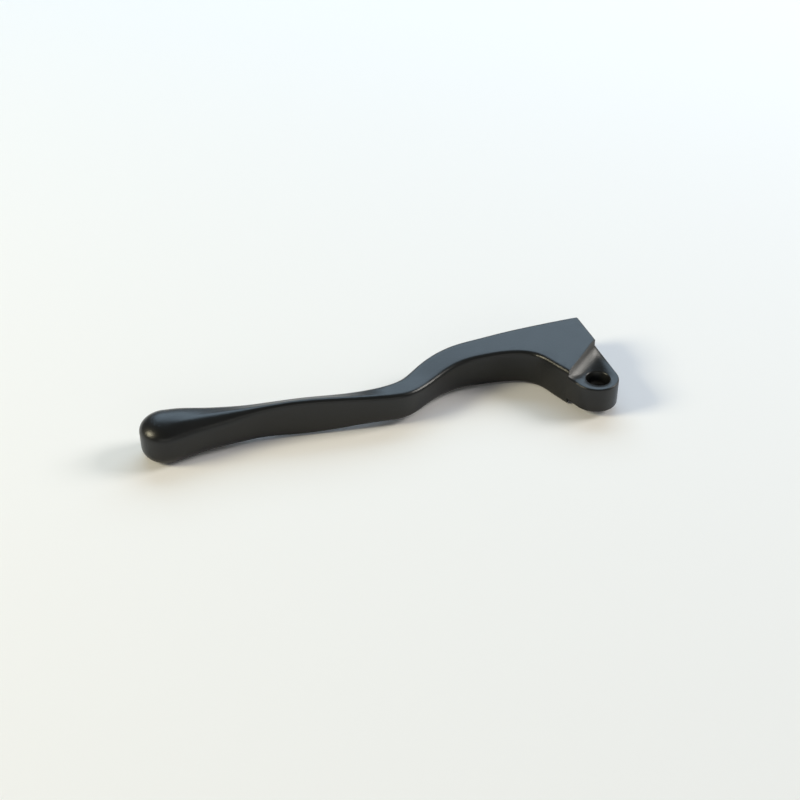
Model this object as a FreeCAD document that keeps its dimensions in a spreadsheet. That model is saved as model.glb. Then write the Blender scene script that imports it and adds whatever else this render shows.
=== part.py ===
import FreeCAD, Part
import math
import os
import re
import Sketcher

# A clutch lever in one cast piece. The origin is the middle of the pivot bore, +Z runs up the bore,
# -X points at the ball end and +Y is the finger side. The outside is the same above and below z = 0.
SIZES = {
    "pivot_bore": 8.0,
    "boss_height": 9.3,
    "boss_radius": 7.75,
    "boss_shift": 0.45,
    "boss_lead": 0.8,
    "heel_gap": 1.6,
    "reach": 144.9,
    "ball_diameter": 16.7,
    "ball_height": 14.3,
    "ball_corner": 4.5,
    "flare_drop": 1.8,
    "flare_round": 4.2,
    "flare_front": 4.6,
    "taper_drop": 2.2,
    "taper_round": 3.4,
    "taper_front": 4.8,
    "waist_round": 2.0,
    "crown_drop": 2.6,
    "finger_round": 3.9,
    "root_drop": 1.2,
    "root_front": 2.8,
    "edge_round": 1.6,
    "front_round": 2.0,
    "corner_in": 3.1,
    "corner_ahead": 33.5,
    "rim_edge": 0.6,
    "bore_edge": 0.4,
    "nipple_bore": 8.3,
    "nipple_out": 5.5,
    "nipple_ahead": 27.0,
    "nipple_roof": 3.2,
    "slot_width": 3.2,
    "slot_roof": 1.6,
}

# The section schedule from the ball to the step beside the boss: distance of the rear edge from the
# pivot towards the ball, its distance ahead of the pivot, swing about Z in degrees, depth and height.
# The blade's sections share out the length between its root and the ball.
SCHEDULE = {
    "flare": ("root_away + 0.83 * (reach - root_away)", -4.6, 0, 13.0, 14.3),
    "taper": ("root_away + 0.71 * (reach - root_away)", -2.2, 0, 10.6, 13.6),
    "waist": ("root_away + 0.57 * (reach - root_away)", 0.3, 0, 8.1, 13.4),
    "grip": ("root_away + 0.39 * (reach - root_away)", 1.0, 0, 7.4, 14.4),
    "shank": ("root_away + 0.18 * (reach - root_away)", 1.0, 0, 8.1, 13.1),
    "root": (73.0, 1.05, 2, 8.6, 11.0),
    "bend": (64.6, 2.0, 20, 9.1, 10.0),
    "neck": (57.5, 6.6, 40, 9.6, 9.1),
    "throat": (50.5, 12.1, 35, 10.6, 9.9),
    "shoulder": (42.4, 16.2, 15, 11.4, 11.6),
    "crown": (34.0, 17.5, 5, 12.1, 12.6),
    "arch": (26.0, 17.7, -6, 14.3, 12.9),
    "hook": (20.0, 16.2, -18, 18.4, 13.1),
    "cheek": (15.9, 12.9, -29, 25.6, 13.3),
    "jaw": (13.1, 8.2, -35, 34.2, 13.5),
    "step": ("boss_shift + boss_radius + heel_gap", 2.4, -40, 46.4, 13.7),
}
COLUMNS = ("away", "ahead", "swing", "depth", "height")

# How far the roof of a section falls to the front, and its rear and front edge radii.
EDGES = {
    "flare": ("flare_drop", "flare_round", "flare_front"),
    "taper": ("taper_drop", "taper_round", "taper_front"),
    "waist": ("crown_drop", "waist_round", "finger_round"),
    "grip": ("crown_drop", "edge_round", "finger_round"),
    "shank": ("crown_drop", "edge_round", "finger_round"),
    "root": ("root_drop", "edge_round", "root_front"),
}
PLAIN_EDGES = ("0", "edge_round", "front_round")

# Where the blade leaves the ball, as turns round its upright middle from the half that faces the tip.
BALL_TURNS = (0, 10, 22)

# Each rounded edge of a section is drawn as this many equal arcs.
ROUND_ARCS = range(3)

# Edges nearer than this to a plane lie on it.
TOUCHING = 0.01

# How the sketches count their origin, their upright axis and the points of a curve.
ROOT, Y_AXIS = range(-1, -3, -1)
START, END, CENTRE = range(1, 4)

doc = FreeCAD.newDocument("ClutchLever")
sheet = doc.addObject("Spreadsheet::Sheet", "Sizes")
cells = dict(SIZES)
for station, row in SCHEDULE.items():
    for column, value in zip(COLUMNS, row):
        cells[station + "_" + column] = value
for line, name in enumerate(cells, 1):
    sheet.set("A%d" % line, name)
    sheet.setAlias("B%d" % line, name)
for line, value in enumerate(cells.values(), 1):
    sheet.set("B%d" % line, "=%s" % value)
doc.recompute()

body = doc.addObject("PartDesign::Body", "Lever")
body.Label = "lever"
planes = {feature.Role: feature for feature in body.Origin.OriginFeatures}


def bound(formula):
    """The formula with each size's name led by the sheet's name."""
    return re.sub(r"[a-z]\w*", lambda word: "Sizes." + word[0] if word[0] in cells else word[0], formula)


def size(formula):
    return float(sheet.evalExpression(bound(formula)))


def sketch_on(plane, name):
    sketch = body.newObject("Sketcher::SketchObject", name)
    sketch.AttachmentSupport = [(planes[plane], "")]
    sketch.MapMode = "FlatFace"
    return sketch


def constrain(sketch, kind, *where):
    return sketch.addConstraint(Sketcher.Constraint(kind, *where))


def dimension(sketch, kind, *where, formula):
    """A dimension that follows the sheet."""
    number = constrain(sketch, kind, *where, math.radians(size(formula)) if kind == "Angle" else size(formula))
    sketch.setExpression("Constraints[%d]" % number, bound(formula))


def place_point(sketch, across, up):
    """A construction point at a place given by two formulas."""
    point = sketch.addGeometry(Part.Point(FreeCAD.Vector(size(across), size(up), 0)), True)
    dimension(sketch, "DistanceX", ROOT, START, point, START, formula=across)
    dimension(sketch, "DistanceY", ROOT, START, point, START, formula=up)
    return point


def arc(centre, radius, start, end):
    return Part.ArcOfCircle(Part.Circle(centre, FreeCAD.Vector(0, 0, 1), radius), start, end)


def section(name, away, ahead, swing, depth, height, drop, rear_round, front_round):
    """One closed section of the lever: a flat rear, a roof and a floor that fall to the front, and
    four rounded edges. It stands upright at its rear edge and swings about it."""
    sketch = sketch_on("YZ_Plane", name)
    sketch.AttachmentOffset = FreeCAD.Placement(
        FreeCAD.Vector(), FreeCAD.Rotation(FreeCAD.Vector(0, 1, 0), size(swing)))
    sketch.setExpression("AttachmentOffset.Base.z", bound("-(%s)" % away))
    sketch.setExpression("AttachmentOffset.Base.x", bound(ahead))
    sketch.setExpression("AttachmentOffset.Rotation.Angle", bound(swing))

    deep, half = size(depth), size(height) / 2
    slope = math.atan2(size(drop), deep)
    tilt = math.pi / 2 - slope
    normal = FreeCAD.Vector(math.cos(tilt), math.sin(tilt), 0)

    def corner(across, radius):
        return FreeCAD.Vector(across, half - across * math.tan(slope) - radius / math.cos(slope), 0)

    def below(point):
        return FreeCAD.Vector(point.x, -point.y, 0)

    rear, front = size(rear_round), size(front_round)
    rear_centre = corner(rear, rear)
    front_centre = corner(deep - front, front)
    rear_top = FreeCAD.Vector(0, rear_centre.y, 0)
    front_top = FreeCAD.Vector(deep, front_centre.y, 0)
    roof_rear = rear_centre + normal * rear
    roof_front = front_centre + normal * front
    count = len(ROUND_ARCS)
    turn = tilt / count
    rear_turn = (math.pi - tilt) / count
    outline = []

    def add_line(first, last):
        outline.append(sketch.addGeometry(Part.LineSegment(first, last), False))
        return outline[-1]

    def add_round(centre, radius, start, share):
        """One rounded edge, followed clockwise from its start angle."""
        ends = [start - share * number for number in ROUND_ARCS]
        arcs = [sketch.addGeometry(arc(centre, radius, end - share, end), False) for end in ends]
        outline.extend(arcs)
        return arcs

    wall = add_line(below(rear_top), rear_top)
    upper_rear = add_round(rear_centre, rear, math.pi, rear_turn)
    roof = add_line(roof_rear, roof_front)
    upper_front = add_round(front_centre, front, tilt, turn)
    nose = add_line(front_top, below(front_top))
    lower_front = add_round(below(front_centre), front, 0, turn)
    floor = add_line(below(roof_front), below(roof_rear))
    lower_rear = add_round(below(rear_centre), rear, -tilt, rear_turn)
    lines = (wall, roof, nose, floor)
    for piece, follower in zip(outline, outline[1:] + outline[:1]):
        if piece in lines:
            constrain(sketch, "Tangent", piece, END, follower, END)
        elif follower in lines:
            constrain(sketch, "Tangent", piece, START, follower, START)
        else:
            constrain(sketch, "Coincident", piece, CENTRE, follower, CENTRE)
            constrain(sketch, "Coincident", piece, START, follower, END)
    fall = "atan((%s) / (%s))" % (drop, depth)
    for arcs, formula in ((upper_rear, "90 deg + " + fall), (lower_rear, "90 deg + " + fall),
                          (upper_front, "90 deg - " + fall), (lower_front, "90 deg - " + fall)):
        for piece in arcs[:-1]:
            dimension(sketch, "Angle", piece, formula="(%s) / %d" % (formula, count))
    constrain(sketch, "Vertical", wall)
    constrain(sketch, "PointOnObject", wall, START, Y_AXIS)
    constrain(sketch, "Vertical", nose)
    dimension(sketch, "DistanceX", ROOT, START, nose, START, formula=depth)
    for arcs, formula in ((upper_rear, rear_round), (upper_front, front_round)):
        dimension(sketch, "Radius", arcs[0], formula=formula)
    constrain(sketch, "Equal", upper_rear[0], lower_rear[0])
    constrain(sketch, "Equal", upper_front[0], lower_front[0])
    for across, up in (("0", "(%s) / 2" % height), (depth, "(%s) / 2 - %s" % (height, drop))):
        for line, formula in ((roof, up), (floor, "-(%s)" % up)):
            constrain(sketch, "PointOnObject", place_point(sketch, across, formula), START, line)
    return sketch


def feature_of(kind, name, profile):
    feature = body.newObject("PartDesign::" + kind, name)
    feature.Profile = profile
    return feature


def make_ball_end():
    """The half of the ball that faces the tip: a band with round shoulders, turned half round."""
    sketch = sketch_on("XZ_Plane", "BallProfile")
    sketch.setExpression("AttachmentOffset.Base.x", bound("-reach"))
    radius, half, shoulder = size("ball_diameter") / 2, size("ball_height") / 2, size("ball_corner")
    inner, upper = shoulder - radius, half - shoulder
    sketch.addGeometry([
        Part.LineSegment(FreeCAD.Vector(0, half, 0), FreeCAD.Vector(inner, half, 0)),
        arc(FreeCAD.Vector(inner, upper, 0), shoulder, math.pi / 2, math.pi),
        Part.LineSegment(FreeCAD.Vector(-radius, upper, 0), FreeCAD.Vector(-radius, -upper, 0)),
        arc(FreeCAD.Vector(inner, -upper, 0), shoulder, math.pi, math.pi * 1.5),
        Part.LineSegment(FreeCAD.Vector(inner, -half, 0), FreeCAD.Vector(0, -half, 0)),
        Part.LineSegment(FreeCAD.Vector(0, -half, 0), FreeCAD.Vector(0, half, 0))], False)
    roof, upper_shoulder, band, lower_shoulder, floor, middle = range(6)
    constrain(sketch, "Tangent", roof, END, upper_shoulder, START)
    constrain(sketch, "Tangent", upper_shoulder, END, band, START)
    constrain(sketch, "Tangent", band, END, lower_shoulder, START)
    constrain(sketch, "Tangent", lower_shoulder, END, floor, START)
    constrain(sketch, "Coincident", floor, END, middle, START)
    constrain(sketch, "Coincident", middle, END, roof, START)
    constrain(sketch, "Vertical", band)
    constrain(sketch, "Horizontal", roof)
    constrain(sketch, "Horizontal", floor)
    constrain(sketch, "PointOnObject", middle, START, Y_AXIS)
    constrain(sketch, "PointOnObject", middle, END, Y_AXIS)
    constrain(sketch, "Equal", upper_shoulder, lower_shoulder)
    dimension(sketch, "Radius", upper_shoulder, formula="ball_corner")
    dimension(sketch, "DistanceX", band, START, ROOT, START, formula="ball_diameter / 2")
    dimension(sketch, "DistanceY", ROOT, START, middle, END, formula="ball_height / 2")
    dimension(sketch, "DistanceY", middle, START, ROOT, START, formula="ball_height / 2")
    ball = feature_of("Revolution", "BallEnd", sketch)
    ball.ReferenceAxis = (sketch, ["V_Axis"])
    ball.Angle = 180
    ball.Midplane = True
    doc.recompute()


make_ball_end()

# The finger blade, the neck and the head are one loft, which leaves the ball at its middle.
sections = []
for number, turn in enumerate(BALL_TURNS, 1):
    away = "reach - ball_diameter / 2 * sin(%d)" % turn
    ahead = "-ball_diameter / 2 * cos(%d)" % turn
    depth = "ball_diameter / 2 * (1 + cos(%d))" % turn
    sections.append(section(
        "Ball%d" % number, away, ahead, "0", depth, "ball_height", "0", "ball_corner", "ball_corner"))
for station in SCHEDULE:
    sizes = [station + "_" + column for column in COLUMNS]
    sections.append(section(station.capitalize(), *sizes, *EDGES.get(station, PLAIN_EDGES)))
doc.recompute()
lever = feature_of("AdditiveLoft", "BallToHead", sections[0])
lever.Sections = sections[1:]
doc.recompute()

# The inboard side is one straight line that leaves the round of the boss and passes the front corner.
hub = FreeCAD.Vector(-size("boss_shift"), size("boss_lead"), 0)
corner = FreeCAD.Vector(size("corner_in"), size("corner_ahead"), 0)
heel = FreeCAD.Vector(-size("step_away"), size("step_ahead"), 0)
boss_radius = size("boss_radius")


def on_boss(degrees):
    angle = math.radians(degrees)
    return hub + FreeCAD.Vector(math.cos(angle), math.sin(angle), 0) * boss_radius


def set_boss_round(sketch, round_end):
    hub_point = place_point(sketch, "-boss_shift", "boss_lead")
    constrain(sketch, "Coincident", round_end, CENTRE, hub_point, START)
    dimension(sketch, "Radius", round_end, formula="boss_radius")


def pass_corner(sketch, line):
    constrain(sketch, "PointOnObject", place_point(sketch, "corner_in", "corner_ahead"), START, line)


def draw_sides(sketch, *corners):
    """Four lines joined from corner to corner."""
    ends = corners[1:] + corners[:1]
    sketch.addGeometry([Part.LineSegment(*line) for line in zip(corners, ends)], False)
    sides = range(len(corners))
    for line in sides:
        constrain(sketch, "Coincident", line, END, (line + 1) % len(corners), START)
    return sides


def make_inboard_side():
    """Cuts the head off along the inboard line, through its full height."""
    sketch = sketch_on("XY_Plane", "InboardLine")
    far_across, far_ahead = "step_depth", "step_ahead + step_depth"
    near = on_boss(0)
    beyond = FreeCAD.Vector(corner.x, size(far_ahead), 0)
    outer = FreeCAD.Vector(size(far_across), beyond.y, 0)
    inner = FreeCAD.Vector(outer.x, near.y, 0)
    side, over, edge, under = draw_sides(sketch, near, beyond, outer, inner)
    constrain(sketch, "Horizontal", over)
    constrain(sketch, "Vertical", edge)
    constrain(sketch, "Horizontal", under)
    round_end = sketch.addGeometry(Part.Circle(hub, FreeCAD.Vector(0, 0, 1), boss_radius), True)
    set_boss_round(sketch, round_end)
    constrain(sketch, "Tangent", side, round_end)
    pass_corner(sketch, side)
    dimension(sketch, "DistanceY", ROOT, START, side, START, formula="boss_lead")
    dimension(sketch, "DistanceY", ROOT, START, side, END, formula=far_ahead)
    dimension(sketch, "DistanceX", ROOT, START, edge, START, formula=far_across)
    cut = feature_of("Pocket", "InboardSide", sketch)
    cut.Type = "ThroughAll"
    cut.Midplane = True
    doc.recompute()
    return cut


def make_boss():
    """Pads the boss, which is thinner than the head, against the step."""
    sketch = sketch_on("XY_Plane", "BossOutline")
    meeting = FreeCAD.Vector(corner.x, corner.x - heel.x + heel.y, 0)
    sketch.addGeometry([
        Part.LineSegment(heel, on_boss(210)),
        arc(hub, boss_radius, math.radians(210), math.radians(365)),
        Part.LineSegment(on_boss(5), meeting),
        Part.LineSegment(heel, meeting)], False)
    rear, round_end, side, foot = range(4)
    constrain(sketch, "Tangent", rear, END, round_end, START)
    constrain(sketch, "Tangent", round_end, END, side, START)
    constrain(sketch, "Coincident", side, END, foot, END)
    constrain(sketch, "Coincident", foot, START, rear, START)
    set_boss_round(sketch, round_end)
    dimension(sketch, "DistanceX", rear, START, ROOT, START, formula="step_away")
    dimension(sketch, "DistanceY", ROOT, START, rear, START, formula="step_ahead")
    dimension(sketch, "Angle", foot, formula="90 + step_swing")
    pass_corner(sketch, side)
    pad = feature_of("Pad", "Boss", sketch)
    pad.Midplane = True
    pad.setExpression("Length", bound("boss_height"))
    doc.recompute()
    return pad


def dress_edges(kind, name, base, chosen, **setting):
    """Rounds or chamfers the edges of the base whose middle passes the test."""
    middles = [edge.valueAt((edge.FirstParameter + edge.LastParameter) / 2) for edge in base.Shape.Edges]
    dressing = body.newObject("PartDesign::" + kind, name)
    dressing.Base = (base, ["Edge%d" % number for number, middle in enumerate(middles, 1) if chosen(middle)])
    for setting_name, formula in setting.items():
        dressing.setExpression(setting_name, bound(formula))
    doc.recompute()
    return dressing


def bore(name, across, ahead, diameter, roof=None):
    """A round hole along Z, right through or up to a roof height."""
    sketch = sketch_on("XY_Plane", name + "Circle")
    if roof:
        sketch.setExpression("AttachmentOffset.Base.z", bound(roof))
    place = FreeCAD.Vector(size(across), size(ahead), 0)
    sketch.addGeometry(Part.Circle(place, FreeCAD.Vector(0, 0, 1), size(diameter) / 2), False)
    constrain(sketch, "Coincident", 0, CENTRE, place_point(sketch, across, ahead), START)
    dimension(sketch, "Diameter", 0, formula=diameter)
    hole = feature_of("Pocket", name, sketch)
    hole.Type = "ThroughAll"
    hole.Midplane = roof is None
    doc.recompute()
    return hole


def make_cable_slot():
    """The slot that lets the cable out of the nipple bore through the inboard side."""
    sketch = sketch_on("XY_Plane", "CableSlotOutline")
    sketch.setExpression("AttachmentOffset.Base.z", bound("slot_roof"))
    half = size("slot_width") / 2
    left, right = -size("nipple_out"), boss_radius
    low, high = size("nipple_ahead") - half, size("nipple_ahead") + half
    lower, outer, upper, inner = draw_sides(
        sketch, *(FreeCAD.Vector(*point) for point in ((left, low), (right, low), (right, high), (left, high))))
    constrain(sketch, "Horizontal", lower)
    constrain(sketch, "Vertical", outer)
    constrain(sketch, "Horizontal", upper)
    constrain(sketch, "Vertical", inner)
    dimension(sketch, "DistanceX", inner, START, ROOT, START, formula="nipple_out")
    dimension(sketch, "DistanceX", ROOT, START, outer, START, formula="boss_radius")
    dimension(sketch, "DistanceY", ROOT, START, lower, START, formula="nipple_ahead - slot_width / 2")
    dimension(sketch, "DistanceY", outer, START, outer, END, formula="slot_width")
    slot = feature_of("Pocket", "CableSlot", sketch)
    slot.Type = "ThroughAll"
    doc.recompute()
    return slot


def on_rim(point):
    """True on the edges of the boss and the inboard side."""
    past_step = (point - heel).dot(step_normal)
    past_side = (point - hub).dot(side_normal) - boss_radius
    on_side = abs(past_side) < TOUCHING
    rise = abs(point.z) - half_boss
    boss_rim = abs(rise) < TOUCHING and past_step > TOUCHING
    head_rim = on_side and rise > TOUCHING and past_step < -TOUCHING
    front_corner = on_side and point.y > corner.y
    return boss_rim or head_rim or front_corner


def on_bore_mouth(point):
    away = math.hypot(point.x, point.y)
    return abs(away - size("pivot_bore") / 2) < TOUCHING and abs(abs(point.z) - half_boss) < TOUCHING


half_boss = size("boss_height") / 2
step_normal = FreeCAD.Rotation(FreeCAD.Vector(0, 0, 1), size("step_swing")).multVec(FreeCAD.Vector(1, 0, 0))
to_corner = corner - hub
side_turn = math.atan2(to_corner.y, to_corner.x) - math.acos(boss_radius / to_corner.Length)
side_normal = FreeCAD.Vector(math.cos(side_turn), math.sin(side_turn), 0)

inboard = make_inboard_side()
boss = make_boss()
rims = dress_edges("Fillet", "Rims", boss, on_rim, Radius="rim_edge")
pivot = bore("PivotBore", "0", "0", "pivot_bore")
mouths = dress_edges("Chamfer", "BoreMouths", pivot, on_bore_mouth, Size="bore_edge")
nipple = bore("NippleBore", "-nipple_out", "nipple_ahead", "nipple_bore", "step_height / 2 - nipple_roof")
slot = make_cable_slot()
body.Tip = slot
doc.recompute()

for item in doc.Objects:
    if "Invalid" in item.State or "Error" in item.State:
        raise RuntimeError("%s did not build" % item.Name)
for before, cut in ((lever, inboard), (rims, pivot), (pivot, mouths), (mouths, nipple), (nipple, slot)):
    if cut.Shape.Volume >= before.Shape.Volume:
        raise RuntimeError("%s cuts nothing" % cut.Name)
if body.Shape.isNull() or not body.Shape.isValid() or len(body.Shape.Solids) != 1:
    raise RuntimeError("the lever is not one valid solid")

os.makedirs("parts", exist_ok=True)
body.Shape.exportStep(os.path.join("parts", body.Label + ".step"))
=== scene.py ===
import math

import bmesh
import bpy
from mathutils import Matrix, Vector


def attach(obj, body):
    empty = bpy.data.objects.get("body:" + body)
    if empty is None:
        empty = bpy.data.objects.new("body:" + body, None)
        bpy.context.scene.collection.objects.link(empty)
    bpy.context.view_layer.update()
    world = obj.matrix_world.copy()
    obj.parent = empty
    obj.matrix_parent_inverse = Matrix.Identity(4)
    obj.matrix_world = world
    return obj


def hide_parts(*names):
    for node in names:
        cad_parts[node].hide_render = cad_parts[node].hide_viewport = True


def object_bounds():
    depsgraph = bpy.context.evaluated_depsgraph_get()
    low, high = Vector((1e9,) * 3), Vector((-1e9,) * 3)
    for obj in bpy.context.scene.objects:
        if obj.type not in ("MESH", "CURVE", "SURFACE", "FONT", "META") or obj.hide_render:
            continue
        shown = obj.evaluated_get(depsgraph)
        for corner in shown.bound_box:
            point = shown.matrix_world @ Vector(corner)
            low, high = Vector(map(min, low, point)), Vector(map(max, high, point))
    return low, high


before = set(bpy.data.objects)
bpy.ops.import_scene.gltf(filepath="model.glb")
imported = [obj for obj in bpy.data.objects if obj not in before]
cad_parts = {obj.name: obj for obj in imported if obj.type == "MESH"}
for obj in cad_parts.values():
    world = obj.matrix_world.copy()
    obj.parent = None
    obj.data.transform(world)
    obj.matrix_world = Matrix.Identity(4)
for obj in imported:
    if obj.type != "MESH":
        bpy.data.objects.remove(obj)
cad_low, cad_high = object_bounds()
cad_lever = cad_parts["lever"]
MIDDLE = (cad_low + cad_high) / 2

# Places are in metres, in the part's own frame: the origin is the middle of the pivot bore, +Z runs up the
# bore, -X points at the ball end and +Y is the finger side.
CAMERA_PLACE = Vector((-0.1318, -0.3543, 0.2673))
CAMERA_LOOKS = Vector((0.1433, 0.7947, -0.5899))
CAMERA_SENSOR = 36.0
PHOTO_WIDTH = 800
PHOTO_FOCAL = 1350

# The ball is turned about an upright line and has an upright band below its shoulders.
BALL_X = -0.1449
BALL_RADIUS = 0.00835
BALL_BAND = 0.00265
BALL_SHOULDER = 0.0045
DOME_RISE = 0.0049
DOME_ENDS = -0.126

# The blade's roof falls to the finger side, about a line along the blade.
FALL_LINE = 0.003
FALL_RATE = 26.0
FALL_STARTS, FALL_FULL = -0.136, -0.116
FALL_FADES, FALL_ENDS = -0.092, -0.072

# Sides of the ball's and the blade's triangles that are longer than the finest are halved this many times.
FINEST = 0.0015
CUTS = 3
WELD_GAP = 1e-6
SHARP_ANGLE = math.radians(32)

# The satin black coating: its colours, how they cloud, its gloss and its fine grain.
COAT_DARK = (0.0055, 0.006, 0.0062, 1)
COAT_LIGHT = (0.0095, 0.0102, 0.0105, 1)
COAT_INDEX = 1.45
CLOUD_SCALE, CLOUD_DETAIL = 55.0, 4.0
GLOSS_SCALE, GLOSS_DETAIL = 160.0, 5.0
SMOOTHEST, ROUGHEST = 0.28, 0.36
GRAIN_SCALE, GRAIN_DETAIL = 1400.0, 3.0
GRAIN_STRENGTH, GRAIN_HEIGHT = 0.12, 0.0002

TABLE_SIDE = 6.0
TABLE_COLOUR = (0.905, 0.90, 0.915, 1)
TABLE_ROUGHNESS = 0.9
TABLE_SHINE = 0.1

# Each lamp's name, place, width, height, radiance and colour.
LAMPS = (
    ("back_window", (0.20, 0.98, 0.80), 1.6, 0.9, 2.6, (0.62, 0.82, 1.0)),
    ("left_lamp", (-1.20, -0.05, 0.70), 0.45, 0.45, 18.0, (1.0, 0.92, 0.66)),
    ("right_lamp", (1.35, 0.10, 0.85), 0.60, 0.60, 13.0, (1.0, 0.97, 0.91)),
    ("room_light", (-0.10, -1.40, 0.50), 1.8, 0.5, 1.0, (1.0, 1.0, 0.92)),
)
ROOM_GREY = (0.13, 0.13, 0.13, 1)


def set_inputs(node, **values):
    for name, value in values.items():
        node.inputs[name.replace("_", " ")].default_value = value
    return node


def start_material(name):
    """A new material with a Principled shader joined to its output."""
    material = bpy.data.materials.new(name)
    material.use_nodes = True
    tree = material.node_tree
    tree.nodes.clear()
    output = tree.nodes.new("ShaderNodeOutputMaterial")
    shader = tree.nodes.new("ShaderNodeBsdfPrincipled")
    tree.links.new(shader.outputs["BSDF"], output.inputs["Surface"])
    return material, tree, shader


def add_noise(tree, vector, scale, detail):
    noise = set_inputs(tree.nodes.new("ShaderNodeTexNoise"), Scale=scale, Detail=detail)
    tree.links.new(vector, noise.inputs["Vector"])
    return noise.outputs["Fac"]


def add_range(tree, value, low, high):
    """A value from 0 to 1 spread over another range."""
    spread = set_inputs(tree.nodes.new("ShaderNodeMapRange"), To_Min=low, To_Max=high)
    tree.links.new(value, spread.inputs["Value"])
    return spread.outputs["Result"]


def add_mix(tree, factor, first, second):
    """A colour between two others."""
    mix = tree.nodes.new("ShaderNodeMix")
    mix.data_type = "RGBA"
    tree.links.new(factor, mix.inputs["Factor"])
    for name, colour in (("A", first), ("B", second)):
        socket = next(s for s in mix.inputs if s.name == name and s.type == "RGBA")
        socket.default_value = colour
    return next(s for s in mix.outputs if s.type == "RGBA")


def make_coating():
    """The satin black coating over the casting."""
    material, tree, shader = start_material("satin_black_coating")
    set_inputs(shader, IOR=COAT_INDEX)
    place = tree.nodes.new("ShaderNodeTexCoord").outputs["Object"]
    clouds = add_noise(tree, place, CLOUD_SCALE, CLOUD_DETAIL)
    tree.links.new(add_mix(tree, clouds, COAT_DARK, COAT_LIGHT), shader.inputs["Base Color"])
    gloss = add_noise(tree, place, GLOSS_SCALE, GLOSS_DETAIL)
    tree.links.new(add_range(tree, gloss, SMOOTHEST, ROUGHEST), shader.inputs["Roughness"])
    bump = set_inputs(tree.nodes.new("ShaderNodeBump"), Strength=GRAIN_STRENGTH, Distance=GRAIN_HEIGHT)
    tree.links.new(add_noise(tree, place, GRAIN_SCALE, GRAIN_DETAIL), bump.inputs["Height"])
    tree.links.new(bump.outputs["Normal"], shader.inputs["Normal"])
    return material


def ease(value, start, end):
    """Goes smoothly from 0 at the start to 1 at the end."""
    share = min(max((value - start) / (end - start), 0), 1)
    return share * share * (3 - 2 * share)


def dome_share(point):
    """How far the ball's roof rises or falls at a point to become a dome, as a share of its height."""
    away = min(math.hypot(min(point.x - BALL_X, 0), point.y), BALL_RADIUS)
    past_flat = max(away - BALL_RADIUS + BALL_SHOULDER, 0)
    flat = BALL_BAND + math.sqrt(max(BALL_SHOULDER ** 2 - past_flat ** 2, 0))
    dome = BALL_BAND + DOME_RISE * math.sqrt(max(1 - (away / BALL_RADIUS) ** 2, 0))
    return (dome / flat - 1) * (1 - ease(point.x, BALL_X, DOME_ENDS))


def fall_share(point):
    """How far the blade grows at the rear and shrinks at the finger side, as a share of its height."""
    along = ease(point.x, FALL_STARTS, FALL_FULL) * (1 - ease(point.x, FALL_FADES, FALL_ENDS))
    return FALL_RATE * (FALL_LINE - point.y) * along


def make_cast_lever():
    """The lever with a domed ball and a blade whose roof falls to the finger side."""
    shape = bmesh.new()
    shape.from_mesh(cad_lever.data)
    bmesh.ops.remove_doubles(shape, verts=shape.verts, dist=WELD_GAP)
    for cut in range(CUTS):
        coarse = [edge for edge in shape.edges
                  if edge.calc_length() > FINEST and max(end.co.x for end in edge.verts) < FALL_ENDS]
        bmesh.ops.subdivide_edges(shape, edges=coarse, cuts=1)
        bmesh.ops.triangulate(shape, faces=[face for face in shape.faces if len(face.verts) > 3])
    for vertex in shape.verts:
        point = vertex.co
        vertex.co.z *= 1 + fall_share(point) + (dome_share(point) if point.z > 0 else 0)
    mesh = bpy.data.meshes.new("cast_lever")
    shape.to_mesh(mesh)
    shape.free()
    mesh.shade_smooth()
    mesh.set_sharp_from_angle(angle=SHARP_ANGLE)
    mesh.materials.append(make_coating())
    lever = bpy.data.objects.new("cast_lever", mesh)
    bpy.context.scene.collection.objects.link(lever)
    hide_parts("lever")
    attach(lever, "root")
    return lever


def make_table(lever):
    """A white table that the lever lies on, touching it at its lowest point and under the head."""
    points = [vertex.co for vertex in lever.data.vertices]
    lowest = min(points, key=lambda point: point.z)
    beyond = [point for point in points if point.x > MIDDLE.x]
    slope = min((point.z - lowest.z) / (point.x - lowest.x) for point in beyond)
    bpy.ops.mesh.primitive_plane_add(size=TABLE_SIDE)
    table = bpy.context.object
    table.name = "table"
    table.location = lowest
    table.rotation_euler.y = -math.atan(slope)
    material, tree, shader = start_material("white_table")
    set_inputs(shader, Base_Color=TABLE_COLOUR, Roughness=TABLE_ROUGHNESS, Specular_IOR_Level=TABLE_SHINE)
    table.data.materials.append(material)


def hang_lamp(name, place, width, height, radiance, colour):
    """A soft lamp aimed at the lever. Its radiance is what a mirror would show."""
    lamp = bpy.data.lights.new(name, "AREA")
    lamp.shape = "RECTANGLE"
    lamp.size = width
    lamp.size_y = height
    lamp.energy = radiance * math.pi * width * height
    lamp.color = colour
    holder = bpy.data.objects.new(name, lamp)
    holder.location = place
    holder.rotation_euler = (MIDDLE - Vector(place)).to_track_quat("-Z", "Y").to_euler()
    bpy.context.scene.collection.objects.link(holder)


def light_scene():
    for lamp in LAMPS:
        hang_lamp(*lamp)
    world = bpy.data.worlds.new("room")
    world.use_nodes = True
    set_inputs(world.node_tree.nodes["Background"], Color=ROOM_GREY)
    bpy.context.scene.world = world


def place_camera():
    camera = bpy.data.cameras.new("camera")
    camera.sensor_width = CAMERA_SENSOR
    camera.lens = CAMERA_SENSOR * PHOTO_FOCAL / PHOTO_WIDTH
    holder = bpy.data.objects.new("camera", camera)
    holder.location = CAMERA_PLACE
    holder.rotation_euler = CAMERA_LOOKS.to_track_quat("-Z", "Y").to_euler()
    bpy.context.scene.collection.objects.link(holder)
    bpy.context.scene.camera = holder


make_table(make_cast_lever())
light_scene()
place_camera()
bpy.context.scene.view_settings.view_transform = "Standard"
